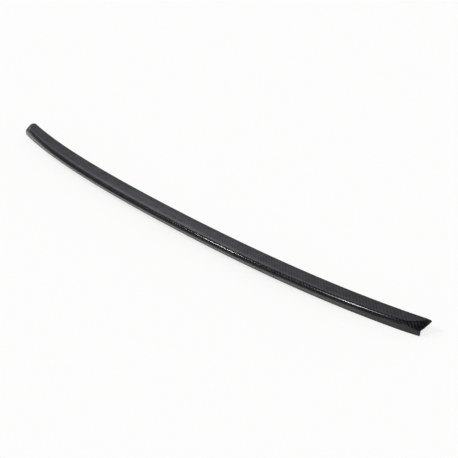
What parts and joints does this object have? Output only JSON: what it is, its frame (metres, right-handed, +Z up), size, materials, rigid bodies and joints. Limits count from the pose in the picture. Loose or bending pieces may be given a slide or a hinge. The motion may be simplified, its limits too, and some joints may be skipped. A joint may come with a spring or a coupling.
{
  "type": "car rear spoiler",
  "caption": "Long curved lip spoiler in gloss woven carbon fibre: dished top, raised rear ridge, tucked rear face, open underside and bevelled ends.",
  "frame": {"origin": "centre of the bounding box in plan, on the floor that the lower edge rests on", "axes": "+X along the strip to the car's right as seen from behind, +Y forwards to the car's front edge of the lip, +Z up from the floor"},
  "size_m": [1.18, 0.086, 0.023],
  "materials": {
    "gloss_carbon_fibre": "2x2 twill carbon fibre weave under a clear gloss coat, matt resin on the underside"
  },
  "bodies": {
    "root": {"lip_shell": "gloss_carbon_fibre"}
  },
  "joints": []
}
